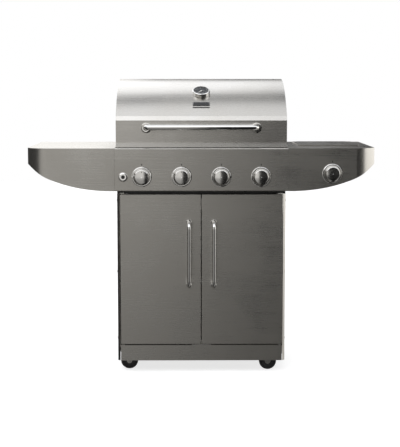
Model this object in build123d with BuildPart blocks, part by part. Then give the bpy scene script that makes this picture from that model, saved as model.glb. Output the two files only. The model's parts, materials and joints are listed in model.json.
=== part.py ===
from build123d import *
import os
from math import cos, radians, sin, sqrt

os.makedirs("parts", exist_ok=True)

# A four-burner gas barbecue on a two-door cart with a side burner, in millimetres.
# X runs to the right, Y away from the person cooking, Z up from the floor.

# ---------------------------------------------------------------- driving dimensions
panel_front = -236.0          # Y of the control panel's front face
shelf_top = 884.0             # working height
half_width = 673.0            # shelf end to the middle of the grill
depth_behind_panel = 510.5    # control panel face to the back of the shelves
sheet = 1.2                   # folded stainless sheet
running = 0.06                # radial clearance of a turning fit

cabinet_half = 328.0
cabinet_front = 30.0          # distances called front, back or depth count from the panel face
cabinet_back = 470.0
corner_bevel = 9.5             # slanted strip down both front corners of the cabinet
skirt_bottom = 46.5
base_top = 108.0

door_inner = 1.5
door_outer = 316.5
door_bottom = 111.4
door_top = 704.3
door_thickness = 20.0
door_pin_x = 308.0
door_pin_depth = 36.5
door_pin_radius = 3.0
door_bush_radius = 6.0
pin_radius = 4.0             # axles and lid hinge pins

panel_half = 334.7
shelf_inner = 335.0            # inner edge of both shelves
panel_bottom = 719.0
knob_height = 775.0
knob_pitch = 153.4
main_knobs = [(n * knob_pitch, knob_height) for n in (-1.5, -0.5, 0.5, 1.5)]
side_knob = (504.7, 787.0)
button_centre = (-302.0, 774.0)

lid_half = 330.5
lid_bottom = 886.5
lid_front = 30.0
lip_depth = 26.3
lid_back = 488.0
roof_radius = 470.0
roof_apex = (373.0, 1149.0)   # depth and height of the lid's highest line
back_radius = lid_back - roof_apex[0]
lid_hinge = (470.0, 897.0)    # depth and height

wheel_radius = 34.0
wheel_width = 21.0
caster_trail = 10.0
fixed_casters = [(-286.0, 98.0), (-286.0, 402.0)]
swivel_casters = [(254.0, 82.0), (254.0, 418.0)]

grate_top = 880.0
firebox_half = 322.0
firebox_front = 72.0
firebox_back = 440.0
firebox_wall = 1.5
burner_height = 775.0

side_centre = (507.5, 306.0)  # X and depth of the side burner
recess_x = (402.0, 613.0)     # limits of its recess in the right shelf, in X and in depth
recess_depth = (172.0, 456.0)
side_hinge = (446.0, 883.0)   # depth and height of its lid's hinge
side_pin_radius = 2.0


# ---------------------------------------------------------------- helpers
def at(depth):
    """Y of a point that lies this far behind the control panel's face."""
    return panel_front + depth


def save(builder, name):
    """Label a finished sub-part and write it as its own STEP file."""
    builder.part.label = name
    export_step(builder.part, f"parts/{name}.step")


def block(x, depth, z, mode=Mode.ADD):
    """A box in the current part, from its limits in X, in depth and in height."""
    centre = ((x[0] + x[1]) / 2, at((depth[0] + depth[1]) / 2), (z[0] + z[1]) / 2)
    with Locations(centre):
        Box(abs(x[1] - x[0]), abs(depth[1] - depth[0]), abs(z[1] - z[0]), mode=mode)


def rod(start, end, radius, mode=Mode.ADD):
    """A round bar in the current part between two points given as X, depth, height."""
    first = Vector(start[0], at(start[1]), start[2])
    last = Vector(end[0], at(end[1]), end[2])
    along = last - first
    with Locations(Plane(origin=first, z_dir=along)):
        Cylinder(radius, along.length, align=(Align.CENTER, Align.CENTER, Align.MIN), mode=mode)


def turned(plane, outline, mode=Mode.ADD):
    """A turned solid about a plane's normal, from (radius, height) corners."""
    side = Plane(origin=plane.origin, x_dir=plane.x_dir, z_dir=-plane.y_dir)
    with BuildSketch(side) as section:
        with BuildLine():
            Polyline(*outline, close=True)
        make_face()
    revolve(section.sketch, axis=Axis(plane.origin, plane.z_dir), mode=mode)


def facing(x, z, depth=0.0):
    """Plane on the front of the grill whose normal points at the person cooking."""
    return Plane(origin=(x, at(depth), z), x_dir=(1, 0, 0), z_dir=(0, -1, 0))


def bent_bar(points, bend, radius, mode=Mode.ADD):
    """A round bar bent through points given as X, depth, height."""
    places = [(p[0], at(p[1]), p[2]) for p in points]
    with BuildLine() as path:
        FilletPolyline(*places, radius=bend)
    with BuildSketch(Plane(origin=path.line @ 0, z_dir=path.line % 0)) as section:
        Circle(radius)
    sweep(section.sketch, path=path.line, mode=mode)


# ---------------------------------------------------------------- lid outline
def roof_height(depth):
    """Outside height of the lid's curved roof at a depth."""
    drop = roof_apex[0] - depth
    return roof_apex[1] - roof_radius + sqrt(roof_radius ** 2 - drop ** 2)


def roof_plane(depth, lift=0.0):
    """Plane lying on the roof at a depth, normal outwards, raised by lift."""
    lean = (roof_apex[0] - depth) / roof_radius
    normal = Vector(0, -lean, sqrt(1 - lean ** 2))
    origin = Vector(0, at(depth), roof_height(depth)) + normal * lift
    return Plane(origin=origin, x_dir=(1, 0, 0), z_dir=normal)


def lid_outline(plane, inset=0.0):
    """Side view of the lid: flared lip, flat front, small facet, long roof curve, round back."""
    flare_top = lid_bottom + 21.5
    flare_angle = radians(11.3)
    bend = 30.0
    facet_bottom = 990.0
    facet_depth = 36.0
    back_centre = roof_apex[1] - back_radius
    lip = (at(lip_depth), lid_bottom)
    bend_end = (
        at(lid_front - bend * (1 - cos(flare_angle))),
        flare_top - bend * sin(flare_angle),
    )
    bend_middle = (
        at(lid_front - bend * (1 - cos(flare_angle / 2))),
        flare_top - bend * sin(flare_angle / 2),
    )
    roof_start = (at(facet_depth), roof_height(facet_depth))
    roof_middle = (at(192.0), roof_height(192.0))
    apex = (at(roof_apex[0]), roof_apex[1])
    shoulder = (
        at(roof_apex[0] + back_radius * cos(radians(45))),
        back_centre + back_radius * sin(radians(45)),
    )
    with BuildSketch(plane) as outline:
        with BuildLine():
            Line(lip, bend_end)
            ThreePointArc(bend_end, bend_middle, (at(lid_front), flare_top))
            Polyline((at(lid_front), flare_top), (at(lid_front), facet_bottom), roof_start)
            ThreePointArc(roof_start, roof_middle, apex)
            ThreePointArc(apex, shoulder, (at(lid_back), back_centre))
            Polyline((at(lid_back), back_centre), (at(lid_back), lid_bottom), lip)
        make_face()
        if inset:
            offset(amount=-inset, kind=Kind.INTERSECTION, mode=Mode.REPLACE)
    return outline.sketch


# ---------------------------------------------------------------- cart base and cabinet
with BuildPart() as base_tray:
    for inset, top, mode in ((0, base_top, Mode.ADD), (sheet, base_top - sheet, Mode.SUBTRACT)):
        with BuildSketch(Plane.XY.offset(skirt_bottom)) as plan:
            with Locations((0, at((cabinet_front + cabinet_back) / 2))):
                Rectangle(2 * cabinet_half, cabinet_back - cabinet_front)
            chamfer(plan.vertices().group_by(Axis.Y)[0], length=corner_bevel)
            if inset:
                offset(amount=-inset, kind=Kind.INTERSECTION, mode=Mode.REPLACE)
        extrude(plan.sketch, amount=top - skirt_bottom, mode=mode)
    seam = cabinet_half - corner_bevel
    for side in (-1, 1):
        block(
            (side * (seam - 1.8), side * seam),
            (cabinet_front - 1, cabinet_front + 3),
            (skirt_bottom - 1, base_top - 6),
            mode=Mode.SUBTRACT,
        )
    for side in (-1, 1):
        for depth in (150, 350):
            rod((side * 319, depth, base_top - 5), (side * 319, depth, base_top + 1), 2.5, Mode.SUBTRACT)
save(base_tray, "base_tray")

bolt_depths = (90, 250, 410)
bolt_height = 872.0


def side_panel(side):
    """One cabinet side: a folded wall with a slanted front strip, a back and a foot flange."""
    wall = cabinet_half - 0.5
    with BuildPart() as panel:
        with BuildSketch(Plane.XY.offset(base_top)) as plan:
            with BuildLine() as run:
                FilletPolyline(
                    (wall - corner_bevel + 0.7, at(cabinet_front + 0.7)),
                    (wall, at(cabinet_front + corner_bevel)),
                    (wall, at(cabinet_back - 0.5)),
                    (wall - 15, at(cabinet_back - 0.5)),
                    radius=4,
                )
            trace(line_width=1)
        extrude(amount=704 - base_top)
        block((cabinet_half - 1, cabinet_half), (50, 435), (700, 884.8))
        block((cabinet_half - 1, cabinet_half), (435, cabinet_back - 6), (700, 868))
        block((cabinet_half - 16, cabinet_half - 1), (60, 460), (base_top, base_top + 1))
        for depth in bolt_depths:
            rod((320, depth, bolt_height), (330, depth, bolt_height), 3, Mode.SUBTRACT)
        for depth in (150, 350):
            rod((319, depth, base_top - 1), (319, depth, base_top + 2), 2.5, Mode.SUBTRACT)
        if side < 0:
            mirror(about=Plane.YZ, mode=Mode.REPLACE)
    return panel


left_side_panel = side_panel(-1)
save(left_side_panel, "left_side_panel")
right_side_panel = side_panel(1)
save(right_side_panel, "right_side_panel")

with BuildPart() as back_panel:
    block((-321, 321), (cabinet_back - 2, cabinet_back - 1), (base_top, 590))
    block((-321, 321), (cabinet_back - 14, cabinet_back - 2), (589, 590))
    with BuildSketch(Plane.XZ.offset(-at(cabinet_back - 1.5))) as vents:
        with Locations((0, 470)):
            with GridLocations(60, 18, 8, 4):
                SlotOverall(44, 6)
    extrude(vents.sketch, amount=3, both=True, mode=Mode.SUBTRACT)
save(back_panel, "back_panel")

with BuildPart() as frame_rails:
    block((-327, 327), (51, 52.2), (686, 716))
    for side in (-1, 1):
        block((side * 290, side * 328), (50, 53), (685, 705.5), mode=Mode.SUBTRACT)
    block((-327, 327), (52.2, 68), (714.8, 716))
    block((-311, 311), (466.8, 468), (700, 716))
    block((-311, 311), (452, 466.8), (714.8, 716))
    for side in (-1, 1):
        block((side * 178, side * 192), (52.2, 468), (684, 685.2))
        block((side * 190.8, side * 192), (52.2, 468), (685.2, 698.8))
        block((side * 178, side * 192), (52.2, 466.8), (698.8, 700))
save(frame_rails, "frame_rails")

with BuildPart() as door_catches:
    block((-38.5, 38.5), (cabinet_front, 70), (base_top, base_top + 3))
    rod((0, cabinet_front + 5, base_top + 3), (0, cabinet_front + 5, base_top + 3.3), 2.5)
    block((-18, 18), (51, 63), (base_top + 3, base_top + 19))
    block((-15, 15), (52.2, 54), (643, 703))
    block((-30, 30), (52.2, 62), (670, 690))
save(door_catches, "door_catches")

with BuildPart() as hinge_pins:
    for side in (-1, 1):
        x = side * door_pin_x
        rod((x, door_pin_depth, base_top), (x, door_pin_depth, door_bottom - 0.5), 5.5)
        rod((x, door_pin_depth, door_bottom - 0.5), (x, door_pin_depth, 122), door_pin_radius)
        block((side * 300, side * 316), (31.5, 51), (707.5, 710))
        rod((x, door_pin_depth, 693), (x, door_pin_depth, 707.5), door_pin_radius)
        hinge_y, hinge_z = lid_hinge
        rod((side * 317, hinge_y, hinge_z), (side * 320.5, hinge_y, hinge_z), 6)
        rod((side * 320.5, hinge_y, hinge_z), (side * 329.2, hinge_y, hinge_z), pin_radius)
    for outer, inner in ((recess_x[0], recess_x[0] + 10), (recess_x[1], recess_x[1] - 10)):
        rod((outer, *side_hinge), (inner, *side_hinge), side_pin_radius)
save(hinge_pins, "hinge_pins")


def caster_screw_plate(x, depth):
    """Square fixing plate of a caster, flat against the underside of the base."""
    block((x - 30, x + 30), (depth - 30, depth + 30), (base_top - sheet - 3, base_top - sheet))


with BuildPart() as caster_plates:
    for x, depth in swivel_casters:
        caster_screw_plate(x, depth)
        rod((x, depth, 99.4), (x, depth, base_top - sheet - 3), 20)
        rod((x, depth, 94), (x, depth, 99.4), 5)
        rod((x, depth, 90.5), (x, depth, 94), 8)
save(caster_plates, "caster_plates")


def fork_leg(x_axle, x_top, depth, top):
    """One leg of a caster fork, wide at the top and round at the axle."""
    foot = 11.0
    with BuildSketch(Plane.XZ.offset(-at(depth))) as leg:
        with BuildLine():
            Polyline(
                (x_axle - foot, wheel_radius),
                (x_top - 17, top),
                (x_top + 17, top),
                (x_axle + foot, wheel_radius),
                close=True,
            )
        make_face()
        with Locations((x_axle, wheel_radius)):
            Circle(foot)
    extrude(leg.sketch, amount=2.5)


with BuildPart() as fixed_caster_brackets:
    for x, depth in fixed_casters:
        caster_screw_plate(x, depth)
        fork_leg(x, x, depth - 13.0, base_top - sheet - 3)
        fork_leg(x, x, depth + 15.5, base_top - sheet - 3)
        rod((x, depth - 18, wheel_radius), (x, depth + 18, wheel_radius), pin_radius)
        for end in (-1, 1):
            rod((x, depth + end * 15.5, wheel_radius), (x, depth + end * 20, wheel_radius), 6.5)
save(fixed_caster_brackets, "fixed_caster_brackets")

with BuildPart() as panel_screws:
    for side in (-1, 1):
        for depth in bolt_depths:
            rod((side * 323.4, depth, bolt_height), (side * 327, depth, bolt_height), 5.5)
            rod((side * 327, depth, bolt_height), (side * 340, depth, bolt_height), 3)
            rod((side * 328, depth, bolt_height), (side * 336.4, depth, bolt_height), 6)
        for depth in (150, 350):
            rod((side * 319, depth, base_top + 1), (side * 319, depth, base_top + 4), 5)
            rod((side * 319, depth, base_top - 6), (side * 319, depth, base_top + 1), 2.5)
save(panel_screws, "panel_screws")

# ---------------------------------------------------------------- firebox and what is in it
with BuildPart() as firebox:
    wall_half = firebox_half - firebox_wall
    wall_depths = (firebox_front + firebox_wall, firebox_back - firebox_wall)
    middle = at((firebox_front + firebox_back) / 2)
    floor_z = 760.0
    spout_z = 702.0
    for shrink, mode in ((0, Mode.ADD), (firebox_wall, Mode.SUBTRACT)):
        with BuildSketch(Plane.XY.offset(floor_z)) as wide:
            with Locations((0, middle)):
                Rectangle(2 * (firebox_half - shrink), firebox_back - firebox_front - 2 * shrink)
        with BuildSketch(Plane.XY.offset(spout_z)) as narrow:
            with Locations((0, middle)):
                Rectangle(200 - 2 * shrink, 120 - 2 * shrink)
        loft([wide.sketch, narrow.sketch], mode=mode)
        if mode == Mode.ADD:
            block((-firebox_half, firebox_half), (firebox_front, firebox_back), (floor_z, 889))
            block((-327, 327), (40, 434), (881.5, 883))
        else:
            block((-wall_half, wall_half), wall_depths, (floor_z, 890), mode=mode)
    for shelf_z in (806, 866):
        block((-wall_half, wall_half), (wall_depths[0], wall_depths[0] + 9), (shelf_z, shelf_z + 1.5))
        block((-wall_half, wall_half), (wall_depths[1] - 9, wall_depths[1]), (shelf_z, shelf_z + 1.5))
    for side in (-1, 1):
        block((side * wall_half, side * firebox_half), (430, lid_hinge[0]), (886, 905.5))
        rod((side * wall_half, *lid_hinge), (side * firebox_half, *lid_hinge), 9.5)
        rod((side * 319, *lid_hinge), (side * 323, *lid_hinge), pin_radius, Mode.SUBTRACT)
    for x, z in main_knobs:
        rod((x, 60, burner_height), (x, 80, burner_height), 13, Mode.SUBTRACT)
save(firebox, "firebox")

with BuildPart() as burner_tubes:
    for x, z in main_knobs:
        with BuildSketch(Plane.XZ.offset(-at(438.5))) as tube:
            with Locations((x, burner_height)):
                RectangleRounded(44, 26, 8)
        extrude(tube.sketch, amount=346)
        rod((x, 52, burner_height), (x, 93, burner_height), 12)
        with BuildSketch(Plane.XZ.offset(-at(437))) as hollow:
            with Locations((x, burner_height)):
                RectangleRounded(41.6, 23.6, 6.8)
        extrude(hollow.sketch, amount=343, mode=Mode.SUBTRACT)
        rod((x, 50, burner_height), (x, 95, burner_height), 10.8, Mode.SUBTRACT)
        with Locations((x, at(265), burner_height + 13)):
            with GridLocations(10, 20, 1, 16):
                Box(26, 2, 3, mode=Mode.SUBTRACT)
save(burner_tubes, "burner_tubes")

with BuildPart() as flame_tamers:
    for x, z in main_knobs:
        with BuildSketch(Plane.XZ.offset(-at(436))) as roof:
            with BuildLine():
                Polyline((x - 54, 808.3), (x, 838), (x + 54, 808.3))
            trace(line_width=1.2)
        extrude(roof.sketch, amount=360)
save(flame_tamers, "flame_tamers")

with BuildPart() as cooking_grates:
    grate_bottom = 867.6
    for side in (-1, 1):
        outer = (side * 1.5, side * 319.0)
        block(outer, (78, 434), (grate_bottom, grate_top))
        block((side * 10.5, side * 310.0), (88, 424), (grate_bottom - 1, grate_top + 1), mode=Mode.SUBTRACT)
        for bar in range(14):
            centre = side * (10.5 + 299.5 * (bar + 0.5) / 14)
            block((centre - 3.5, centre + 3.5), (86, 426), (grate_bottom + 2, grate_top))
        block((side * 8, side * 312), (251, 261), (grate_bottom, grate_top - 2))
save(cooking_grates, "cooking_grates")

with BuildPart() as warming_rack:
    rack_z = 985.0
    rack_half = 314.0
    for depth in (300, 425):
        rod((-rack_half, depth, rack_z), (rack_half, depth, rack_z), 2.8)
    for side in (-1, 1):
        rod((side * rack_half, 296, rack_z), (side * rack_half, 429, rack_z), 3.4)
        for depth in (304, 421):
            rod((side * rack_half, depth, grate_top), (side * rack_half, depth, rack_z), 3)
    for place in range(19):
        x = -rack_half + 2 * rack_half * (place + 1) / 20
        rod((x, 298, rack_z + 3.4), (x, 427, rack_z + 3.4), 2)
save(warming_rack, "warming_rack")

# ---------------------------------------------------------------- control panel
with BuildPart() as control_panel:
    block((-panel_half, panel_half), (0, 38), (panel_bottom, shelf_top))
    long_edges = control_panel.edges().filter_by(Axis.X).group_by(Axis.Y)[0]
    fillet(long_edges, radius=3)
    inner = panel_half - sheet
    block((-inner, inner), (sheet, 39), (panel_bottom + sheet, shelf_top - sheet), mode=Mode.SUBTRACT)
    block((-inner, inner), (16, 39), (panel_bottom - 1, panel_bottom + 3), mode=Mode.SUBTRACT)
    for side in (-1, 1):
        block((side * 326, side * 340), (20, 39), (700, 900), mode=Mode.SUBTRACT)
    for x, z in main_knobs:
        rod((x, -5, z), (x, 5, z), 7, Mode.SUBTRACT)
    button_x, button_z = button_centre
    rod((button_x, -5, button_z), (button_x, 5, button_z), 11, Mode.SUBTRACT)
save(control_panel, "control_panel")

with BuildPart() as control_bezels:
    for x, z in main_knobs + [side_knob]:
        turned(facing(x, z), [
            (30, 0), (39, 0), (39, 1.2), (37.2, 1.6), (36.4, 5), (35.2, 6.2), (34, 6.2),
            (33.2, 5.2), (33.2, 3), (30, 3)])
    turned(facing(*button_centre), [(7.4, 0), (18, 0), (18, 1), (16, 3.6), (12.5, 5), (7.4, 5)])
save(control_bezels, "control_bezels")

with BuildPart() as gas_valves:
    for x, z in main_knobs + [side_knob]:
        block((x - 13, x + 13), (7, 40), (z - 13, z + 13))
        rod((x, 40, z), (x, 57, z), 5)
        rod((x, 5, z), (x, 31, z), 5 + running, Mode.SUBTRACT)
save(gas_valves, "gas_valves")

with BuildPart() as gas_manifold:
    manifold_z = 738.0
    pipe = 8.0
    bent_bar(
        [(-262, 27, manifold_z), (290, 27, manifold_z), (290, 90, manifold_z), (290, 90, 652)],
        16, pipe)
    rod((290, 90, 640), (290, 90, 653), 11)
    rod((290, 90, 622), (290, 90, 641), 6.58)
    for x, z in main_knobs:
        rod((x, 27, manifold_z), (x, 27, z - 13), 6)
    side_x, side_z = side_knob
    bent_bar(
        [(268, 27, manifold_z), (380, 27, manifold_z), (380, 27, side_z), (side_x - 13, 27, side_z)],
        20, 4)
save(gas_manifold, "gas_manifold")

with BuildPart() as igniter:
    rod((button_x, sheet, button_z), (button_x, 13, button_z), 14)
    block((button_x - 15, button_x + 15), (12, 46), (button_z - 15, button_z + 15))
    rod((button_x, 0, button_z), (button_x, 13, button_z), 7.4, Mode.SUBTRACT)
    rod((button_x, 10, button_z), (button_x, 31, button_z), 4.4, Mode.SUBTRACT)
    for x, z in main_knobs:
        rod((x + 36, wall_depths[0], 798), (x + 36, 150, 798), 3)
        rod((x + 36, 150, 798), (x + 36, 170, 798), 1)
save(igniter, "igniter")


def shelf_plan(plane, inset=0.0):
    """Top view of the right shelf: straight front, creased round corner, straight end."""
    corner_start = (598.0, at(0))
    corner_end = (half_width, at(52.0))
    corner_middle = (640.7, at(16.8))
    with BuildSketch(plane) as plan:
        with BuildLine():
            Line((shelf_inner, at(0)), corner_start)
            ThreePointArc(corner_start, corner_middle, corner_end)
            Polyline(
                corner_end,
                (half_width, at(depth_behind_panel)),
                (shelf_inner, at(depth_behind_panel)),
                (shelf_inner, at(0)),
            )
        make_face()
        if inset:
            offset(amount=-inset, kind=Kind.INTERSECTION, mode=Mode.REPLACE)
    return plan.sketch


def arch_height(x):
    """Height of the shelf fascia's curved lower edge, a quarter ellipse rising outwards."""
    start, reach, rise = 344.0, 370.0, 187.6
    if x <= start:
        return panel_bottom
    return panel_bottom + rise * (1 - sqrt(1 - ((x - start) / reach) ** 2))


def under_arch(lift, floor):
    """Front view of everything below the arch raised by lift, down to a floor height."""
    stations = [344 + (half_width + 4 - 344) * n / 6 for n in range(7)]
    with BuildSketch(Plane.XZ.offset(-at(depth_behind_panel + 10))) as region:
        with BuildLine():
            Line((330, panel_bottom + lift), (344, panel_bottom + lift))
            Spline(*[(x, arch_height(x) + lift) for x in stations], tangents=[(1, 0), (1, 0.75)])
            top = arch_height(half_width + 4) + lift
            Polyline(
                (half_width + 4, top),
                (half_width + 4, floor),
                (330, floor),
                (330, panel_bottom + lift),
            )
        make_face()
    return region.sketch


def shelf_fascia(side, with_knob):
    """Curved apron under one shelf: front, round corner and end, with a folded lower edge."""
    low, high = panel_bottom - 2, shelf_top - sheet
    through = depth_behind_panel + 40
    with BuildPart() as fascia:
        extrude(shelf_plan(Plane.XY.offset(low)), amount=high - low)
        extrude(shelf_plan(Plane.XY.offset(low), 11), amount=high - low, mode=Mode.SUBTRACT)
        block((320, 346), (8, 600), (low, high), mode=Mode.SUBTRACT)
        extrude(under_arch(sheet, low - 5), amount=through, mode=Mode.INTERSECT)
        extrude(shelf_plan(Plane.XY.offset(low)), amount=high - low)
        extrude(shelf_plan(Plane.XY.offset(low), sheet), amount=high - low, mode=Mode.SUBTRACT)
    with BuildPart() as fold:
        extrude(shelf_plan(Plane.XY.offset(low), sheet), amount=high - low)
        extrude(shelf_plan(Plane.XY.offset(low), 11), amount=high - low, mode=Mode.SUBTRACT)
        extrude(under_arch(sheet, low - 5), amount=through, mode=Mode.INTERSECT)
    with BuildPart() as apron:
        add(fascia.part)
        add(fold.part)
        extrude(under_arch(0, low - 5), amount=through, mode=Mode.SUBTRACT)
        block((300, 335.3), (-10, 600), (low - 1, high + 1), mode=Mode.SUBTRACT)
        open_back = (depth_behind_panel - 12, 600)
        block((330, half_width - 12), open_back, (low - 1, high + 1), mode=Mode.SUBTRACT)
        block((320, 360), (16, 600), (low, high + 1), mode=Mode.SUBTRACT)
        if with_knob:
            stem_x, stem_z = side_knob
            rod((stem_x, -5, stem_z), (stem_x, 5, stem_z), 7, Mode.SUBTRACT)
        if side < 0:
            mirror(about=Plane.YZ, mode=Mode.REPLACE)
    return apron


def shelf(side, cut_out):
    """One shelf top: a flat sheet with edges turned down inside the apron."""
    with BuildPart() as top:
        extrude(shelf_plan(Plane.XY.offset(shelf_top - sheet)), amount=sheet)
        low = shelf_top - 24
        extrude(shelf_plan(Plane.XY.offset(low), 1.4), amount=24 - sheet)
        extrude(shelf_plan(Plane.XY.offset(low), 1.4 + sheet), amount=24 - sheet, mode=Mode.SUBTRACT)
        for depth in bolt_depths:
            rod((330, depth, bolt_height), (341, depth, bolt_height), 3, Mode.SUBTRACT)
        if cut_out:
            block(recess_x, recess_depth, (shelf_top - 3, shelf_top + 1), mode=Mode.SUBTRACT)
        if side < 0:
            mirror(about=Plane.YZ, mode=Mode.REPLACE)
    return top


left_shelf = shelf(-1, False)
save(left_shelf, "left_shelf")
right_shelf = shelf(1, True)
save(right_shelf, "right_shelf")
left_shelf_fascia = shelf_fascia(-1, False)
save(left_shelf_fascia, "left_shelf_fascia")
right_shelf_fascia = shelf_fascia(1, True)
save(right_shelf_fascia, "right_shelf_fascia")

# ---------------------------------------------------------------- side burner
with BuildPart() as side_burner_pan:
    pan_floor = 842.0
    left, right = recess_x
    near, far = recess_depth
    block((left - 10, right + 10), (near - 9, far + 10), (shelf_top, shelf_top + sheet))
    block(recess_x, recess_depth, (pan_floor, shelf_top + sheet))
    inner_x = (left + sheet, right - sheet)
    inner_depth = (near + sheet, far - sheet)
    block(inner_x, inner_depth, (pan_floor + sheet, 900), mode=Mode.SUBTRACT)
    rod((left - 1, *side_hinge), (right + 1, *side_hinge), side_pin_radius, Mode.SUBTRACT)
    centre_x, centre_depth = side_centre
    rod((centre_x, centre_depth, 830), (centre_x, centre_depth, 850), 11, Mode.SUBTRACT)
save(side_burner_pan, "side_burner_pan")

with BuildPart() as side_burner_head:
    bent_bar(
        [(side_knob[0], 60, side_knob[1]), (side_knob[0], 150, side_knob[1]),
         (centre_x, centre_depth, 795), (centre_x, centre_depth, 850)],
        25, 9)
    rod((side_knob[0], 52, side_knob[1]), (side_knob[0], 62, side_knob[1]), 12)
    rod((side_knob[0], 50, side_knob[1]), (side_knob[0], 100, side_knob[1]), 7, Mode.SUBTRACT)
    head = Plane(origin=(centre_x, at(centre_depth), 846))
    turned(head, [(0, 0), (22, 0), (36, 6), (36, 12), (30, 16), (0, 17)])
    with Locations(head.offset(9)):
        with PolarLocations(36, 24):
            Box(8, 2.5, 5, mode=Mode.SUBTRACT)
save(side_burner_head, "side_burner_head")

with BuildPart() as side_burner_grate:
    low, high = 873.0, 883.0
    reach_x, reach_depth = 99.0, 128.0
    edge_x = (centre_x - reach_x, centre_x + reach_x)
    edge_depth = (centre_depth - reach_depth, centre_depth + reach_depth)
    block(edge_x, edge_depth, (low, high))
    block(
        (edge_x[0] + 10, edge_x[1] - 10),
        (edge_depth[0] + 10, edge_depth[1] - 10),
        (low - 1, high + 1),
        mode=Mode.SUBTRACT,
    )
    for across in (-62, 0, 62):
        bar = (centre_depth + across - 4, centre_depth + across + 4)
        block((edge_x[0] + 8, edge_x[1] - 8), bar, (low, high))
    block((centre_x - 4, centre_x + 4), (edge_depth[0] + 8, edge_depth[1] - 8), (low, high))
    for x in (edge_x[0], edge_x[1] - 8):
        for depth in (edge_depth[0], edge_depth[1] - 8):
            block((x, x + 8), (depth, depth + 8), (pan_floor + sheet, low))
save(side_burner_grate, "side_burner_grate")

with BuildPart() as side_burner_lid:
    lid_x = (387.0, 628.0)
    lid_depths = (158.0, 440.0)
    low, high = 885.5, 888.6
    block(lid_x, lid_depths, (low, high))
    fillet(side_burner_lid.edges().filter_by(Axis.Z).group_by(Axis.Y)[0], radius=8)
    block(
        (lid_x[0] + sheet, lid_x[1] - sheet),
        (lid_depths[0] + sheet, 450),
        (low - 1, high - sheet),
        mode=Mode.SUBTRACT,
    )
    barrel_x = (recess_x[0] + 2.5, recess_x[1] - 2.5)
    hinge_depth, hinge_height = side_hinge
    rod((barrel_x[0], *side_hinge), (barrel_x[1], *side_hinge), 3.4)
    block(barrel_x, (lid_depths[1] - 4, hinge_depth + 3.4), (high - sheet, high))
    block(barrel_x, (hinge_depth - 3.4, hinge_depth + 3.4), (hinge_height, high))
    barrel_ends = (barrel_x[0] - 1, barrel_x[1] + 1)
    bore = side_pin_radius + running
    rod((barrel_ends[0], *side_hinge), (barrel_ends[1], *side_hinge), bore, Mode.SUBTRACT)
save(side_burner_lid, "side_burner_lid")

# ---------------------------------------------------------------- grease tray
with BuildPart() as grease_tray:
    block((-175.2, 175.2), (70, 462), (668, 687))
    block((-188, 188), (70, 462), (685.6, 687))
    block((-174, 174), (71.2, 460.8), (669.2, 690), mode=Mode.SUBTRACT)
    rod((0, 256, 660), (0, 256, 675), 14, Mode.SUBTRACT)
    block((-45, 45), (462, 478), (676, 677.2))
    for side in (-1, 1):
        block((side * 43.5, side * 44.7), (216, 296), (657, 668))
        block((side * 38.5, side * 43.5), (216, 296), (657, 658.2))
save(grease_tray, "grease_tray")

with BuildPart() as grease_cup:
    cup = Plane(origin=(0, at(256), 608))
    turned(cup, [
        (0, 0), (32, 0), (36, 3), (36, 50.2), (42, 50.2), (42, 51.4),
        (34.8, 51.4), (34.8, 3.6), (31.5, 1.2), (0, 1.2)])
save(grease_cup, "grease_cup")

# ---------------------------------------------------------------- lid
with BuildPart() as lid_shell:
    low_plane = Plane.YZ.offset(-lid_half)
    extrude(lid_outline(low_plane), amount=2 * lid_half)
    extrude(lid_outline(low_plane, sheet), amount=2 * lid_half, mode=Mode.SUBTRACT)
    mouth = (lid_bottom - 2, lid_bottom + sheet + 0.05)
    block((-400, 400), (lip_depth + 1.3, lid_back - sheet), mouth, mode=Mode.SUBTRACT)
    stem = roof_plane(148)
    with Locations(stem):
        Cylinder(5, 20, mode=Mode.SUBTRACT)
save(lid_shell, "lid_shell")


def lid_cap(side):
    """End plate of the lid, just inside the skin, with the hinge bush on its inner face."""
    with BuildPart() as cap:
        extrude(lid_outline(Plane.YZ.offset(328.2), sheet + 0.05), amount=1.2)
        rod((324, *lid_hinge), (328.5, *lid_hinge), 8)
        rod((320, *lid_hinge), (332, *lid_hinge), pin_radius + running, Mode.SUBTRACT)
        if side < 0:
            mirror(about=Plane.YZ, mode=Mode.REPLACE)
    return cap


lid_cap_left = lid_cap(-1)
save(lid_cap_left, "lid_cap_left")
lid_cap_right = lid_cap(1)
save(lid_cap_right, "lid_cap_right")

handle_x = 213.0
handle_z = 965.0
handle_mount_z = 960.0
handle_reach = -28.0
with BuildPart() as lid_handle:
    bent_bar(
        [(-handle_x, 28.4, handle_mount_z), (-handle_x, handle_reach, handle_z),
         (handle_x, handle_reach, handle_z), (handle_x, 28.4, handle_mount_z)],
        17, 10.5)
save(lid_handle, "lid_handle")

with BuildPart() as lid_handle_ferrules:
    climb = (handle_z - handle_mount_z) / (28.4 - handle_reach)
    for side in (-1, 1):
        x = side * handle_x
        turned(facing(x, handle_mount_z + 18 * climb, 30), [
            (0, 0.05), (20, 0.05), (20, 2), (18.5, 5), (16.4, 10), (14.8, 18), (13.9, 27),
            (13.6, 35), (0, 35)])
        inner = (x, 34.0, handle_mount_z - climb * (34.0 - 28.4))
        outer = (x, -14.0, handle_mount_z + climb * (28.4 + 14.0))
        rod(inner, outer, 11, Mode.SUBTRACT)
save(lid_handle_ferrules, "lid_handle_ferrules")

dial = roof_plane(148, 0.1)
with BuildPart() as thermometer_case:
    turned(dial, [
        (0, 0), (34, 0), (34, 14.6), (32.6, 16), (30, 16), (30, 15), (31, 15),
        (31, 13), (29.5, 13), (29.5, 10), (1.56, 10), (1.56, 4), (0, 4)])
    with Locations(dial):
        Cylinder(4, 45, align=(Align.CENTER, Align.CENTER, Align.MAX))
save(thermometer_case, "thermometer_case")

with BuildPart() as thermometer_glass:
    turned(dial, [(0, 13.05), (30.9, 13.05), (30.9, 14.95), (0, 14.95)])
save(thermometer_glass, "thermometer_glass")

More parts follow.
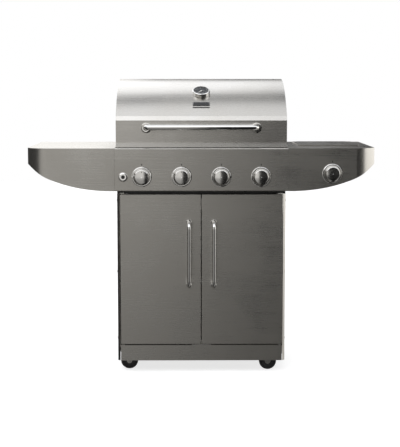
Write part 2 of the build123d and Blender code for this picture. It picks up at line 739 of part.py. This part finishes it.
with BuildPart() as thermometer_needle:
    turned(dial, [(0, 5), (1.5, 5), (1.5, 10.4), (3.5, 10.4), (3.5, 12.2), (0, 12.2)])
    cold = 225.0
    with BuildSketch(dial.offset(10.6)) as pointer:
        with BuildLine():
            Polyline((0, -1.6), (22, -0.4), (22, 0.4), (0, 1.6), (-7, 1.6), (-7, -1.6), close=True)
        make_face()
    extrude(pointer.sketch.rotate(Axis(dial.origin, dial.z_dir), cold), amount=0.8)
save(thermometer_needle, "thermometer_needle")

with BuildPart() as badge_plate:
    for depth, height in ((87, 21), (70.4, 2.4)):
        with BuildSketch(roof_plane(depth, 0.25)) as plate:
            RectangleRounded(66, height, 1)
        extrude(plate.sketch, amount=1.6)
save(badge_plate, "badge_plate")


# ---------------------------------------------------------------- doors
def door(side):
    """One door: a folded pan with a bush in its top and bottom edge at the outer side."""
    with BuildPart() as leaf:
        depths = (cabinet_front, cabinet_front + door_thickness)
        block((door_inner, door_outer), depths, (door_bottom, door_top))
        fillet(leaf.edges().filter_by(Axis.Z).group_by(Axis.Y)[0], radius=2)
        fillet(leaf.edges().filter_by(Axis.X).group_by(Axis.Y)[0], radius=2)
        block(
            (door_inner + 1, door_outer - 1),
            (cabinet_front + 1, cabinet_front + 30),
            (door_bottom + 1, door_top - 1),
            mode=Mode.SUBTRACT,
        )
        for end in (door_bottom, door_top - 12):
            foot = (door_pin_x, door_pin_depth, end)
            head = (door_pin_x, door_pin_depth, end + 12)
            rod(foot, head, door_bush_radius)
        for end in (door_bottom - 1, door_top - 13):
            foot = (door_pin_x, door_pin_depth, end)
            head = (door_pin_x, door_pin_depth, end + 14)
            rod(foot, head, door_pin_radius + running, Mode.SUBTRACT)
        if side < 0:
            mirror(about=Plane.YZ, mode=Mode.REPLACE)
    return leaf


def door_handle(side):
    """Upright bar handle with a round foot at each end."""
    x = 48.5 * side
    low, high = 348.0, 596.0
    reach = -20.0
    with BuildPart() as bar:
        bent_bar(
            [(x, cabinet_front, low), (x, reach, low), (x, reach, high), (x, cabinet_front, high)],
            22, 7)
        for z in (low, high):
            turned(facing(x, z, cabinet_front), [(0, 0), (10.5, 0), (10.5, 2), (8.5, 4.5), (0, 4.5)])
    return bar


left_door = door(-1)
save(left_door, "left_door")
right_door = door(1)
save(right_door, "right_door")
left_door_handle = door_handle(-1)
save(left_door_handle, "left_door_handle")
right_door_handle = door_handle(1)
save(right_door_handle, "right_door_handle")


# ---------------------------------------------------------------- knobs, valve plugs and button
def valve_plug(x, z):
    """Turning core of a valve, with a flat-sided socket for the knob's stem."""
    with BuildPart() as plug:
        rod((x, 9, z), (x, 29, z), 5)
        with BuildSketch(facing(x, z, 23)) as socket:
            Circle(3 + running)
            with Locations((0, 4.2)):
                Rectangle(10, 4, mode=Mode.SUBTRACT)
        extrude(socket.sketch, amount=20, mode=Mode.SUBTRACT)
    return plug


knob_face = 23.6               # how far the middle of a knob stands off the panel
face_radius = 300.0            # its face is part of a large sphere


def face_height(radius):
    """Distance from the panel to a knob's face at a radius."""
    return knob_face - face_radius + sqrt(face_radius ** 2 - radius ** 2)


def knob(x, z):
    """Round knob with a conical skirt and an almost flat polished face, on a stem with a flat."""
    with BuildPart() as handle:
        with BuildSketch(Plane(origin=(x, at(0), z), x_dir=(1, 0, 0), z_dir=(0, 0, -1))) as section:
            with BuildLine():
                Polyline(
                    (0, knob_face), (0, 6.5), (32, 6.5), (32.3, 9), (31.4, 12), (27.8, 17.5),
                    (27, 20.2), (26.5, 21.6), (25, face_height(25)))
                ThreePointArc((25, face_height(25)), (12.5, face_height(12.5)), (0, knob_face))
            make_face()
        revolve(section.sketch, axis=Axis((x, at(0), z), (0, -1, 0)))
        with BuildSketch(facing(x, z, 19)) as stem_section:
            Circle(3)
            with Locations((0, 4.2)):
                Rectangle(10, 4 + 2 * running, mode=Mode.SUBTRACT)
        extrude(stem_section.sketch, amount=26)
    return handle


for number, (x, z) in enumerate(main_knobs + [side_knob], start=1):
    plug = valve_plug(x, z)
    save(plug, f"valve_plug_{number}")
    burner_knob = knob(x, z)
    save(burner_knob, f"knob_{number}")

with BuildPart() as ignition_button:
    turned(facing(*button_centre), [
        (0, 9), (5.5, 9), (7, 7.5), (7, -6), (4, -6), (4, -24), (0, -24)])
save(ignition_button, "ignition_button")

# ---------------------------------------------------------------- caster forks and wheels
for name, (x, depth) in zip(("front", "rear"), swivel_casters):
    with BuildPart() as swivel_fork:
        wheel_x = x + caster_trail
        block((x - 17, x + 17), (depth - 15.5, depth + 15.5), (95, 99))
        fork_leg(wheel_x, x, depth - 13.0, 97)
        fork_leg(wheel_x, x, depth + 15.5, 97)
        rod((x, depth, 94.4), (x, depth, 97), 14)
        rod((x, depth, 90), (x, depth, 100), 5 + running, Mode.SUBTRACT)
        rod((wheel_x, depth - 18, wheel_radius), (wheel_x, depth + 18, wheel_radius), pin_radius)
        for end in (-1, 1):
            near = (wheel_x, depth + end * 15.5, wheel_radius)
            far = (wheel_x, depth + end * 20, wheel_radius)
            rod(near, far, 6.5)
    save(swivel_fork, f"{name}_swivel_fork")

wheel_places = {
    "left_front_wheel": fixed_casters[0],
    "left_rear_wheel": fixed_casters[1],
    "right_front_wheel": (swivel_casters[0][0] + caster_trail, swivel_casters[0][1]),
    "right_rear_wheel": (swivel_casters[1][0] + caster_trail, swivel_casters[1][1]),
}
for name, (x, depth) in wheel_places.items():
    with BuildPart() as wheel:
        half = wheel_width / 2
        turned(facing(x, wheel_radius, depth), [
            (4 + running, -half - 1), (9, -half - 1), (9, -half + 2), (24, -half + 2), (26, -half),
            (33, -half), (wheel_radius, -half + 4), (wheel_radius, half - 4), (33, half),
            (26, half), (24, half - 2), (9, half - 2), (9, half + 1), (4 + running, half + 1)])
    save(wheel, name)
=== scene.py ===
import json
from math import atan2, cos, pi, radians, sin

import bmesh
import bpy
from mathutils import Matrix, Vector


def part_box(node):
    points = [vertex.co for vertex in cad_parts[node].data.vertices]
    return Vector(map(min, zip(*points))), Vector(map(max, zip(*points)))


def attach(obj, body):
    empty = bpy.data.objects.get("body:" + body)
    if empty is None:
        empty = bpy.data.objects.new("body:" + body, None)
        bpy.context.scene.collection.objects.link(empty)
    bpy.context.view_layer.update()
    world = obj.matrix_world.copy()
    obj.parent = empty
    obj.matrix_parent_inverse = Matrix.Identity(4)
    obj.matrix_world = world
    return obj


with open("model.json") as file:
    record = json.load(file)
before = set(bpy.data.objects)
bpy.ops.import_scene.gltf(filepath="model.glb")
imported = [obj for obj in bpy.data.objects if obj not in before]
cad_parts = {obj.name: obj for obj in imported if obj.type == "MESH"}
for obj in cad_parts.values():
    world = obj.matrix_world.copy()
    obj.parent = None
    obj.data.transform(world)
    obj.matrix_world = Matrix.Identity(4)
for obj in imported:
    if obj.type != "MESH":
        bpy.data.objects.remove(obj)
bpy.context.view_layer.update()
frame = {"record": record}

bpy.context.scene.view_settings.view_transform = "Standard"

# ---------------------------------------------------------------- places, all in metres
panel_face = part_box("control_panel")[0][1]
joints = {joint["name"]: joint for joint in frame["record"]["behaviour"]["joints"]}


# ---------------------------------------------------------------- camera
camera_side = -0.048           # left of the grill's middle
camera_distance = 4.63         # in front of the control panel
camera_height = 1.1448
look_down = 6.787              # degrees
look_right = 0.523             # degrees
focal_length = 97.1            # millimetres, on a 36 mm sensor


def add_camera():
    """Camera in front of the grill, a little above the shelves and looking slightly down."""
    data = bpy.data.cameras.new("camera")
    data.sensor_width = 36.0
    data.lens = focal_length
    camera = bpy.data.objects.new("camera", data)
    camera.location = (camera_side, panel_face - camera_distance, camera_height)
    camera.rotation_euler = (radians(90 - look_down), 0, radians(-look_right))
    bpy.context.scene.collection.objects.link(camera)
    bpy.context.scene.camera = camera


# ---------------------------------------------------------------- node helpers
class Graph:
    """A material's node tree, with short calls for the nodes that every finish here uses."""

    def __init__(self, name):
        self.material = bpy.data.materials.new(name)
        self.material.use_nodes = True
        self.tree = self.material.node_tree
        self.tree.nodes.clear()
        self.place = None

    def node(self, kind, **settings):
        node = self.tree.nodes.new(kind)
        for key, value in settings.items():
            setattr(node, key, value)
        return node

    def link(self, source, target):
        self.tree.links.new(source, target)

    def coordinates(self, scale=(1, 1, 1)):
        """Object coordinates in metres, stretched along each axis."""
        if self.place is None:
            self.place = self.node("ShaderNodeTexCoord")
        mapping = self.node("ShaderNodeMapping")
        mapping.inputs["Scale"].default_value = scale
        self.link(self.place.outputs["Object"], mapping.inputs["Vector"])
        return mapping.outputs["Vector"]

    def noise(self, scale=(1, 1, 1), size=1.0, detail=3.0, roughness=0.55):
        noise = self.node("ShaderNodeTexNoise")
        noise.inputs["Scale"].default_value = size
        noise.inputs["Detail"].default_value = detail
        noise.inputs["Roughness"].default_value = roughness
        self.link(self.coordinates(scale), noise.inputs["Vector"])
        return noise.outputs["Fac"]

    def map(self, value, low, high, from_low=0.3, from_high=0.7):
        ranged = self.node("ShaderNodeMapRange")
        ranged.inputs["From Min"].default_value = from_low
        ranged.inputs["From Max"].default_value = from_high
        ranged.inputs["To Min"].default_value = low
        ranged.inputs["To Max"].default_value = high
        self.link(value, ranged.inputs["Value"])
        return ranged.outputs["Result"]

    def math(self, operation, first, second=None):
        node = self.node("ShaderNodeMath", operation=operation)
        for socket, value in zip(node.inputs, (first, second)):
            if value is None:
                continue
            if isinstance(value, (int, float)):
                socket.default_value = value
            else:
                self.link(value, socket)
        return node.outputs[0]

    def blend(self, factor, first, second):
        """Mix of two colours by a factor between 0 and 1."""
        mix = self.node("ShaderNodeMix", data_type="RGBA")
        self.link(factor, mix.inputs["Factor"])
        for socket, colour in ((mix.inputs["A"], first), (mix.inputs["B"], second)):
            if isinstance(colour, tuple):
                socket.default_value = (*colour, 1)
            else:
                self.link(colour, socket)
        return mix.outputs["Result"]

    def bump(self, height, distance, strength=1.0, under=None):
        bump = self.node("ShaderNodeBump")
        bump.inputs["Distance"].default_value = distance
        bump.inputs["Strength"].default_value = strength
        self.link(height, bump.inputs["Height"])
        if under is not None:
            self.link(under, bump.inputs["Normal"])
        return bump.outputs["Normal"]

    def shader(self, colour, roughness, metallic=0.0, normal=None, **constants):
        shader = self.node("ShaderNodeBsdfPrincipled")
        shader.inputs["Metallic"].default_value = metallic
        for socket, value in (("Base Color", colour), ("Roughness", roughness), ("Normal", normal)):
            if value is None:
                continue
            if isinstance(value, tuple):
                shader.inputs[socket].default_value = (*value, 1)
            elif isinstance(value, (int, float)):
                shader.inputs[socket].default_value = value
            else:
                self.link(value, shader.inputs[socket])
        for key, value in constants.items():
            shader.inputs[key.replace("_", " ")].default_value = value
        output = self.node("ShaderNodeOutputMaterial")
        self.link(shader.outputs["BSDF"], output.inputs["Surface"])
        return self.material


# ---------------------------------------------------------------- finishes
def shade(colour, amount):
    """A colour made darker or lighter by one factor."""
    return tuple(c * amount for c in colour)


def stretched(axis, along, across):
    """Noise scale for a streaky pattern that runs along one axis, in repeats per metre."""
    return tuple(along if letter == axis else across for letter in "xyz")


def brushed_steel(name, colour, gloss=0.27, along="x"):
    """Stainless sheet with fine brush lines along one axis, faint stains and finger marks."""
    graph = Graph(name)
    lines = graph.noise(stretched(along, 6, 900), detail=4.0, roughness=0.7)
    bands = graph.noise(stretched(along, 1.2, 160), detail=3.0)
    marks = graph.noise(size=5.0, detail=4.0, roughness=0.6)
    tone = graph.blend(graph.map(lines, 0, 1), shade(colour, 0.94), colour)
    warm = (colour[0] * 0.97, colour[1] * 0.95, colour[2] * 0.91)
    tone = graph.blend(graph.map(marks, 0, 0.5), tone, warm)
    rough = graph.math("ADD", graph.map(lines, -0.03, 0.04), graph.map(marks, gloss - 0.02, gloss + 0.05))
    rough = graph.math("ADD", rough, graph.map(bands, -0.008, 0.010))
    normal = graph.bump(lines, 0.000025, 0.16)
    return graph.shader(tone, rough, 1.0, normal)


def polished_metal(name, colour, gloss=0.06):
    """Plated metal: mirror bright, with faint polishing marks and breath-like haze."""
    graph = Graph(name)
    haze = graph.noise(size=38.0, detail=4.0)
    scratches = graph.noise((40, 700, 90), detail=2.0)
    rough = graph.math("ADD", graph.map(haze, gloss - 0.02, gloss + 0.04), graph.map(scratches, 0, 0.02))
    tone = graph.blend(graph.map(haze, 0, 1), shade(colour, 0.95), colour)
    return graph.shader(tone, rough, 1.0, graph.bump(scratches, 0.000006, 0.25))


def zinc_sheet(name, colour):
    """Galvanised sheet with its spangle of dull crystals."""
    graph = Graph(name)
    crystals = graph.node("ShaderNodeTexVoronoi")
    crystals.inputs["Scale"].default_value = 90.0
    graph.link(graph.coordinates(), crystals.inputs["Vector"])
    grey = graph.node("ShaderNodeSeparateColor")
    graph.link(crystals.outputs["Color"], grey.inputs["Color"])
    fleck = grey.outputs[0]
    tone = graph.blend(fleck, shade(colour, 0.8), shade(colour, 1.12))
    stain = graph.noise(size=9.0, detail=5.0)
    tone = graph.blend(graph.map(stain, 0, 0.35), tone, shade(colour, 0.7))
    rough = graph.map(fleck, 0.34, 0.52, 0, 1)
    return graph.shader(tone, rough, 0.9, graph.bump(fleck, 0.00003, 0.3))


def enamel(name, colour, gloss=0.24):
    """Glossy black vitreous enamel with orange peel and a little dust."""
    graph = Graph(name)
    peel = graph.noise(size=260.0, detail=2.0)
    dust = graph.noise(size=14.0, detail=6.0, roughness=0.7)
    tone = graph.blend(graph.map(dust, 0, 0.4), colour, tuple(c + 0.03 for c in colour))
    rough = graph.map(dust, gloss, gloss + 0.14)
    return graph.shader(tone, rough, 0.0, graph.bump(peel, 0.00006, 0.35), Specular_IOR_Level=0.5)


def casting(name, colour):
    """Cast iron with a sandy skin, dull seasoning and darker hollows."""
    graph = Graph(name)
    sand = graph.noise(size=900.0, detail=3.0, roughness=0.7)
    lumps = graph.noise(size=70.0, detail=4.0)
    tone = graph.blend(graph.map(lumps, 0, 1), shade(colour, 0.7), shade(colour, 1.5))
    rough = graph.map(sand, 0.42, 0.62)
    normal = graph.bump(sand, 0.00018, 0.6, graph.bump(lumps, 0.0004, 0.3))
    return graph.shader(tone, rough, 0.35, normal)


def heated_tube(name, colour):
    """Burner steel, straw and blue where it has been hot."""
    graph = Graph(name)
    heat = graph.noise((3, 7, 3), detail=4.0)
    straw = (colour[0], colour[1] * 0.84, colour[2] * 0.6)
    blue = (colour[0] * 0.45, colour[1] * 0.52, colour[2] * 0.72)
    tone = graph.blend(graph.map(heat, 0, 1, 0.4, 0.6), colour, straw)
    tone = graph.blend(graph.map(heat, 0, 1, 0.55, 0.75), tone, blue)
    grain = graph.noise((900, 6, 900), detail=3.0)
    return graph.shader(tone, graph.map(grain, 0.25, 0.42), 1.0, graph.bump(grain, 0.00002, 0.3))


def moulded(name, colour, gloss=0.5, grain=1400.0, bumps=0.00007):
    """Moulded plastic or rubber with a fine pebbled skin."""
    graph = Graph(name)
    pebble = graph.noise(size=grain, detail=2.0)
    wear = graph.noise(size=22.0, detail=5.0, roughness=0.65)
    tone = graph.blend(graph.map(wear, 0, 0.6), colour, tuple(c * 1.7 + 0.01 for c in colour))
    rough = graph.map(wear, gloss - 0.06, gloss + 0.12)
    return graph.shader(tone, rough, 0.0, graph.bump(pebble, bumps, 0.5), Specular_IOR_Level=0.4)


def machined(name, colour, gloss=0.24):
    """Turned metal with faint tool rings and slight tarnish."""
    graph = Graph(name)
    tarnish = graph.noise(size=60.0, detail=5.0)
    rings = graph.noise((80, 1500, 80), detail=2.0)
    tone = graph.blend(graph.map(tarnish, 0, 0.7), colour, shade(colour, 0.62))
    rough = graph.math("ADD", graph.map(tarnish, gloss, gloss + 0.12), graph.map(rings, 0, 0.05))
    return graph.shader(tone, rough, 1.0, graph.bump(rings, 0.00001, 0.3))


def clear_glass(name):
    """Clear dial glass with a trace of dust and a weak, coated reflection."""
    graph = Graph(name)
    dust = graph.noise(size=120.0, detail=4.0)
    rough = graph.map(dust, 0.02, 0.07)
    return graph.shader((0.97, 0.98, 0.98), rough, 0.0, Transmission_Weight=1.0, IOR=1.13)


def printed(name, colour, gloss=0.42):
    """Screen-printed ink or paint, slightly uneven."""
    graph = Graph(name)
    ink = graph.noise(size=500.0, detail=3.0)
    tone = graph.blend(graph.map(ink, 0, 1), colour, shade(colour, 0.86))
    return graph.shader(tone, graph.map(ink, gloss - 0.05, gloss + 0.08), 0.0, graph.bump(ink, 0.00001, 0.3))


finishes = {
    "stainless_steel": brushed_steel("stainless_steel", (0.60, 0.585, 0.555), 0.27),
    "hood_steel": brushed_steel("hood_steel", (0.62, 0.605, 0.575), 0.24),
    "chrome": polished_metal("chrome", (0.80, 0.79, 0.77), 0.06),
    "galvanised_steel": zinc_sheet("galvanised_steel", (0.50, 0.51, 0.52)),
    "black_enamel": enamel("black_enamel", (0.012, 0.012, 0.012)),
    "cast_iron": casting("cast_iron", (0.030, 0.030, 0.031)),
    "burner_steel": heated_tube("burner_steel", (0.55, 0.53, 0.50)),
    "plated_steel": machined("plated_steel", (0.62, 0.61, 0.58), 0.22),
    "brass": machined("brass", (0.78, 0.60, 0.28), 0.22),
    "knob_metal": polished_metal("knob_metal", (0.76, 0.75, 0.73), 0.10),
    "black_plastic": moulded("black_plastic", (0.012, 0.012, 0.012), 0.42),
    "wheel_rubber": moulded("wheel_rubber", (0.010, 0.010, 0.010), 0.58, 900.0, 0.00012),
    "dial_black": moulded("dial_black", (0.045, 0.046, 0.048), 0.62, 700.0, 0.00004),
    "glass": clear_glass("glass"),
    "needle_paint": printed("needle_paint", (0.82, 0.80, 0.75)),
    "badge_black": enamel("badge_black", (0.022, 0.022, 0.024), 0.22),
    "ink": printed("ink", (0.02, 0.02, 0.02), 0.5),
}
side_steel = brushed_steel("side_steel", (0.60, 0.585, 0.555), 0.27, along="z")
vertical_grain_nodes = ("left_side_panel", "right_side_panel")


def finish_nodes():
    """Give every CAD node the finish of its slot."""
    for part in frame["record"]["subparts"]:
        node, slot = part["node"], part["material_slot"]
        material = side_steel if node in vertical_grain_nodes else finishes[slot]
        mesh_object = bpy.data.objects[node]
        for place in mesh_object.material_slots:
            place.material = material
        if not mesh_object.material_slots:
            mesh_object.data.materials.append(material)


# ---------------------------------------------------------------- studio
def smooth(graph, value, low, high):
    """Soft step from 0 to 1 as value passes from low to high."""
    ranged = graph.node("ShaderNodeMapRange", interpolation_type="SMOOTHSTEP")
    ranged.inputs["From Min"].default_value = low
    ranged.inputs["From Max"].default_value = high
    graph.link(value, ranged.inputs["Value"])
    return ranged.outputs["Result"]


def ramp(graph, value, low, high, stops):
    """Grey level along a scale from low to high, given (place, grey) stops."""
    colours = graph.node("ShaderNodeValToRGB")
    band = colours.color_ramp
    while len(band.elements) < len(stops):
        band.elements.new(0.5)
    for element, (place, grey) in zip(band.elements, stops):
        element.position = (place - low) / (high - low)
        element.color = (grey, grey, grey, 1)
    scaled = graph.node("ShaderNodeMapRange")
    scaled.inputs["From Min"].default_value = low
    scaled.inputs["From Max"].default_value = high
    graph.link(value, scaled.inputs["Value"])
    graph.link(scaled.outputs["Result"], colours.inputs["Fac"])
    split = graph.node("ShaderNodeSeparateColor")
    graph.link(colours.outputs["Color"], split.inputs["Color"])
    return split.outputs[0]


# brightness by direction, as (degrees, brightness), adjusted until the steel's tones came near
# the photograph's, so it suits the photograph's camera angle best
horizon_light = [              # round the grill: 0 in front, 90 to the right, 180 behind
    (-180, 0.03), (-178, 0.06), (-175, 0.66), (-150, 0.60), (-140, 0.03), (-58, 0.02), (-50, 0.30),
    (-18, 0.33), (-7, 0.355), (-4, 0.40), (0.3, 0.385), (1.4, 0.02), (9, 0.01), (16, 0.02), (40, 0.01),
    (58, 0.01), (66, 0.80), (138, 0.82), (146, 0.02), (180, 0.02)]
low_light = [                  # share that is left below the horizon
    (-90, 0.22), (-30, 0.27), (-16, 0.35), (-9, 0.50), (-6.4, 0.60), (-5.4, 1.0), (30, 1.0)]
overhead_light = [             # over the grill: 0 front horizon, 90 straight up, 180 back horizon
    (0, 0.12), (20, 0.16), (29, 0.34), (35, 0.86), (50, 0.96), (62, 0.72), (75, 0.62), (101, 0.62),
    (107, 0.20), (115, 0.12), (121, 0.62), (129, 0.86), (180, 0.86)]
dome_radius = 14.0
dome_centre = (0, 0, 0.8)
light_strength = 2.0


def in_degrees(graph, operation, first, second=None):
    """Result of an inverse trigonometric node, in degrees."""
    return graph.math("MULTIPLY", graph.math(operation, first, second), 180 / pi)


def studio_light():
    """Glow of the surround: a horizon all round, blended into a set of softboxes overhead."""
    graph = Graph("studio_light")
    place = graph.node("ShaderNodeTexCoord")
    split = graph.node("ShaderNodeSeparateXYZ")
    graph.link(place.outputs["Object"], split.inputs["Vector"])
    x, y, z = split.outputs
    toward = graph.math("MULTIPLY", y, -1.0)
    around = in_degrees(graph, "ARCTAN2", x, toward)
    over = in_degrees(graph, "ARCTAN2", z, toward)
    lift = in_degrees(graph, "ARCSINE", graph.math("DIVIDE", z, dome_radius))

    fall = ramp(graph, lift, -90, 30, low_light)
    level = graph.math("MULTIPLY", ramp(graph, around, -180, 180, horizon_light), fall)

    # the overhead boxes hang at a slant, shine more on the left, and are flagged at the back right
    slant = graph.map(x, -5.0, 5.0, -2.5, 2.5)
    arch = ramp(graph, graph.math("SUBTRACT", over, slant), 0, 180, overhead_light)
    arch = graph.math("MULTIPLY", arch, graph.map(x, 1.06, 0.84, -1.6, 1.6))
    behind = graph.math("MULTIPLY", smooth(graph, y, 0.5, 5.0), smooth(graph, x, 1.62, 2.25))
    arch = graph.math("MULTIPLY", arch, graph.map(behind, 1.0, 0.03, 0, 1))

    high = smooth(graph, lift, 16, 30)
    low = graph.math("SUBTRACT", 1.0, high)
    mixed = graph.math("ADD", graph.math("MULTIPLY", arch, high), graph.math("MULTIPLY", level, low))
    glow = graph.node("ShaderNodeEmission")
    tint = graph.blend(high, (1.0, 0.985, 0.955), (0.97, 0.985, 1.02))
    graph.link(tint, glow.inputs["Color"])
    graph.link(graph.math("MULTIPLY", mixed, light_strength), glow.inputs["Strength"])
    output = graph.node("ShaderNodeOutputMaterial")
    graph.link(glow.outputs["Emission"], output.inputs["Surface"])
    return graph.material


def add_dome():
    """Studio surround: softboxes, flags and fill as one large glowing shell round the grill."""
    mesh = bpy.data.meshes.new("studio_dome")
    shape = bmesh.new()
    bmesh.ops.create_uvsphere(shape, u_segments=96, v_segments=48, radius=dome_radius)
    shape.to_mesh(mesh)
    shape.free()
    dome = bpy.data.objects.new("studio_dome", mesh)
    dome.location = dome_centre
    dome.visible_camera = False
    dome.visible_shadow = False
    bpy.context.scene.collection.objects.link(dome)
    mesh.materials.append(studio_light())


def add_floor():
    """Pale floor with a little of its own light, left out of the steel's reflections."""
    mesh = bpy.data.meshes.new("floor")
    shape = bmesh.new()
    bmesh.ops.create_circle(shape, cap_ends=True, segments=96, radius=9.0)
    shape.to_mesh(mesh)
    shape.free()
    floor = bpy.data.objects.new("floor", mesh)
    floor.visible_glossy = False
    bpy.context.scene.collection.objects.link(floor)
    graph = Graph("floor_paint")
    speckle = graph.noise(size=3.0, detail=3.0)
    tone = graph.blend(graph.map(speckle, 0, 1), (0.46, 0.46, 0.457), (0.50, 0.50, 0.497))
    mesh.materials.append(graph.shader(
        tone, 0.9, 0.0, Emission_Color=(1, 1, 1, 1), Emission_Strength=0.74))


def add_world():
    """Plain white background."""
    world = bpy.data.worlds.new("white")
    world.use_nodes = True
    world.node_tree.nodes["Background"].inputs["Color"].default_value = (1, 1, 1, 1)
    world.node_tree.nodes["Background"].inputs["Strength"].default_value = 1.0
    bpy.context.scene.world = world


# ---------------------------------------------------------------- small added pieces
def add_piece(name, shape, material, body):
    """Put a finished bmesh in the scene as a piece that rides on a body, with its material."""
    mesh = bpy.data.meshes.new(name)
    bmesh.ops.recalc_face_normals(shape, faces=shape.faces)
    shape.to_mesh(mesh)
    shape.free()
    for face in mesh.polygons:
        face.use_smooth = True
    mesh.set_sharp_from_angle(angle=radians(35))
    piece = bpy.data.objects.new(name, mesh)
    mesh.materials.append(material)
    bpy.context.scene.collection.objects.link(piece)
    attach(piece, body)


def lathe(shape, origin, along, outline, segments=48):
    """Add a turned form to a bmesh: outline is (radius, height) about an axis."""
    along = Vector(along).normalized()
    turn = along.to_track_quat("Z", "Y").to_matrix().to_4x4()
    place = Matrix.Translation(origin) @ turn
    rings = []
    for radius, height in outline:
        if radius < 1e-6:
            rings.append([shape.verts.new(place @ Vector((0, 0, height)))])
            continue
        ring = []
        for n in range(segments):
            angle = 2 * pi * n / segments
            point = Vector((radius * cos(angle), radius * sin(angle), height))
            ring.append(shape.verts.new(place @ point))
        rings.append(ring)
    for low, high in zip(rings, rings[1:]):
        for n in range(segments):
            after = (n + 1) % segments
            if len(low) == 1:
                shape.faces.new((low[0], high[n], high[after]))
            elif len(high) == 1:
                shape.faces.new((low[n], low[after], high[0]))
            else:
                shape.faces.new((low[n], low[after], high[after], high[n]))


def slab(shape, matrix, width, depth, height, round_off=0.0):
    """Add a small box, centred on a matrix's origin, with its edges eased."""
    sized = matrix @ Matrix.Diagonal((width, depth, height, 1))
    made = bmesh.ops.create_cube(shape, size=1.0, matrix=sized)
    if round_off:
        edges = {edge for vert in made["verts"] for edge in vert.link_edges}
        bmesh.ops.bevel(shape, geom=list(edges), offset=round_off, segments=2, affect="EDGES")


def knob_marks():
    """Index line on each knob's face, and the printed mark above it on the panel."""
    index_rise, mark_rise = 0.0195, 0.046      # above the knob's axis
    for number in range(1, 6):
        low, high = (Vector(corner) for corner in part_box(f"knob_{number}"))
        centre = (low + high) / 2
        index = bmesh.new()
        place = Matrix.Translation((centre.x, low.y + 0.0005, centre.z + index_rise))
        slab(index, place, 0.0020, 0.0006, 0.0050, 0.0002)
        add_piece(f"knob_{number}_index", index, finishes["ink"], f"knob_{number}")
        mark = bmesh.new()
        place = Matrix.Translation((centre.x, panel_face - 0.00012, centre.z + mark_rise))
        slab(mark, place, 0.0032, 0.0003, 0.0065, 0.0001)
        add_piece(f"panel_mark_{number}", mark, finishes["ink"], "cart")


def dial_marks():
    """Dark dial plate under the thermometer's glass, with a ring of ticks."""
    plate_height, tick_height = 0.01015, 0.01025       # above the foot of the case
    tick_count, first_angle, sweep = 28, 225, 270
    turn = joints["needle_turn"]
    normal = -Vector(turn["axis"])
    foot = Vector(turn["pos_m"])
    side = Vector((1, 0, 0))
    up = normal.cross(side)
    face = bmesh.new()
    lathe(face, foot + normal * plate_height, normal, [
        (0.0020, 0.0), (0.0260, 0.0), (0.0282, 0.0003), (0.0288, 0.0009), (0.0292, 0.0009),
        (0.0292, -0.0001)], 72)
    add_piece("dial_face", face, finishes["dial_black"], "lid")
    ticks = bmesh.new()
    for step in range(tick_count):
        angle = radians(first_angle - sweep * step / (tick_count - 1))
        outward = side * cos(angle) + up * sin(angle)
        sideways = up * cos(angle) - side * sin(angle)
        is_long = step % 3 == 0
        radius, length, width = (0.0262, 0.0044, 0.0008) if is_long else (0.0268, 0.0026, 0.0005)
        spot = foot + normal * tick_height + outward * radius
        turned = Matrix((outward, sideways, normal)).transposed().to_4x4()
        slab(ticks, Matrix.Translation(spot) @ turned, length, width, 0.0002)
    add_piece("dial_ticks", ticks, finishes["needle_paint"], "lid")


def wheel_hubs():
    """Moulded hub cap round the axle nut, on both sides of every wheel."""
    hub_seat = 0.0088              # from the wheel's middle plane
    outline = [
        (0.0095, 0.0000), (0.0225, 0.0000), (0.0230, 0.0008), (0.0222, 0.0014), (0.0200, 0.0014),
        (0.0190, 0.0006), (0.0125, 0.0006), (0.0118, 0.0016), (0.0095, 0.0016)]
    for name in ("left_front", "left_rear", "right_front", "right_rear"):
        low, high = (Vector(corner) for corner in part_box(f"{name}_wheel"))
        centre = (low + high) / 2
        hub = bmesh.new()
        for sign in (-1, 1):
            start = centre + Vector((0, sign * hub_seat, 0))
            lathe(hub, start, (0, sign, 0), outline)
        add_piece(f"{name}_hub", hub, finishes["black_plastic"], f"{name}_wheel")


def badge_frame():
    """Thin bright rim round the blank badge plate."""
    plate_height = 0.021
    rim_length, rim_height = 0.062, 0.0176
    rim_above, rim_beside = 0.0085, 0.0307     # from the plate's centre
    bar, thickness, rise = 0.0006, 0.0003, 0.00085
    low, high = (Vector(corner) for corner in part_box("badge_plate"))
    centre = (low + high) / 2
    lean = atan2(high.z - low.z, high.y - low.y)
    down = Vector((0, -cos(lean), -sin(lean))) * ((high - low).yz.length / 2 - plate_height / 2)
    turned = Matrix.Translation(centre - down) @ Matrix.Rotation(lean, 4, "X")
    rim = bmesh.new()
    for width, height, x, y in (
            (rim_length, bar, 0, rim_above), (rim_length, bar, 0, -rim_above),
            (bar, rim_height, rim_beside, 0), (bar, rim_height, -rim_beside, 0)):
        slab(rim, turned @ Matrix.Translation((x, y, rise)), width, height, thickness)
    add_piece("badge_rim", rim, finishes["chrome"], "lid")


def cabinet_screws():
    """Domed screw heads down both cabinet sides and across the back."""
    outline = [(0.0052, 0.0), (0.0052, 0.0006), (0.0042, 0.0014), (0.0022, 0.0019), (0.0, 0.0020)]
    heads = bmesh.new()
    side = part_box("right_side_panel")[1][0]
    front = panel_face + 0.030
    for sign in (-1, 1):
        for depth in (0.02, 0.20, 0.42):
            for height in (0.135, 0.400, 0.680):
                lathe(heads, (sign * side, front + depth, height), (sign, 0, 0), outline, 20)
    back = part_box("back_panel")[1][1]
    for x in (-0.30, -0.15, 0.0, 0.15, 0.30):
        for height in (0.125, 0.575):
            lathe(heads, (x, back, height), (0, 1, 0), outline, 20)
    add_piece("cabinet_screws", heads, finishes["plated_steel"], "cart")


add_camera()
add_world()
add_dome()
add_floor()
finish_nodes()
knob_marks()
dial_marks()
wheel_hubs()
badge_frame()
cabinet_screws()
